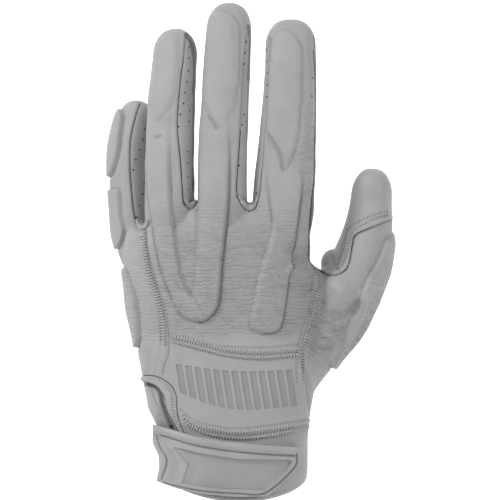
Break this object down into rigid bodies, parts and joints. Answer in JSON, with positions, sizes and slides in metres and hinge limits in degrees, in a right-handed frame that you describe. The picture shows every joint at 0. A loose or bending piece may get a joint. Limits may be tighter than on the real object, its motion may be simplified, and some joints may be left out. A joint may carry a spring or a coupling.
{
  "type": "padded football glove",
  "caption": "Padded left-hand football glove with foam pads along the back of the fingers, fourchettes, a slit cuff, a wrist strap and a moulded closure tab.",
  "frame": {"origin": "middle of the cuff mouth, where the wrist goes in, level with the cuff's lowest edge", "axes": "+Z from the cuff to the fingertips, -Y out of the back of the hand, +X towards the thumb"},
  "size_m": [0.1326, 0.056, 0.2286],
  "materials": {
    "shell_leather": "satin",
    "palm_leather": "satin",
    "panel_leather": "satin",
    "elastic": "matte",
    "moulded_rubber": "satin"
  },
  "bodies": {
    "root": {"back_panel": "shell_leather", "ulnar_panel": "shell_leather", "thumb_panel": "shell_leather", "wrist_panel": "panel_leather", "thumb_wrap": "palm_leather", "palm": "palm_leather", "fourchette_index_middle": "panel_leather", "fourchette_middle_ring": "panel_leather", "fourchette_ring_little": "panel_leather", "pad_index_tip": "shell_leather", "pad_middle_tip": "shell_leather", "pad_ring_tip": "shell_leather", "pad_little_tip": "shell_leather", "pad_little_knuckle": "shell_leather", "pad_thumb": "shell_leather", "pad_ring_middle": "shell_leather", "pad_index_hand": "shell_leather", "pad_ulnar": "shell_leather", "cuff": "elastic", "slit_tongue": "elastic", "slit_binding": "panel_leather", "wrist_strap": "elastic", "closure_tab": "moulded_rubber"}
  },
  "joints": []
}
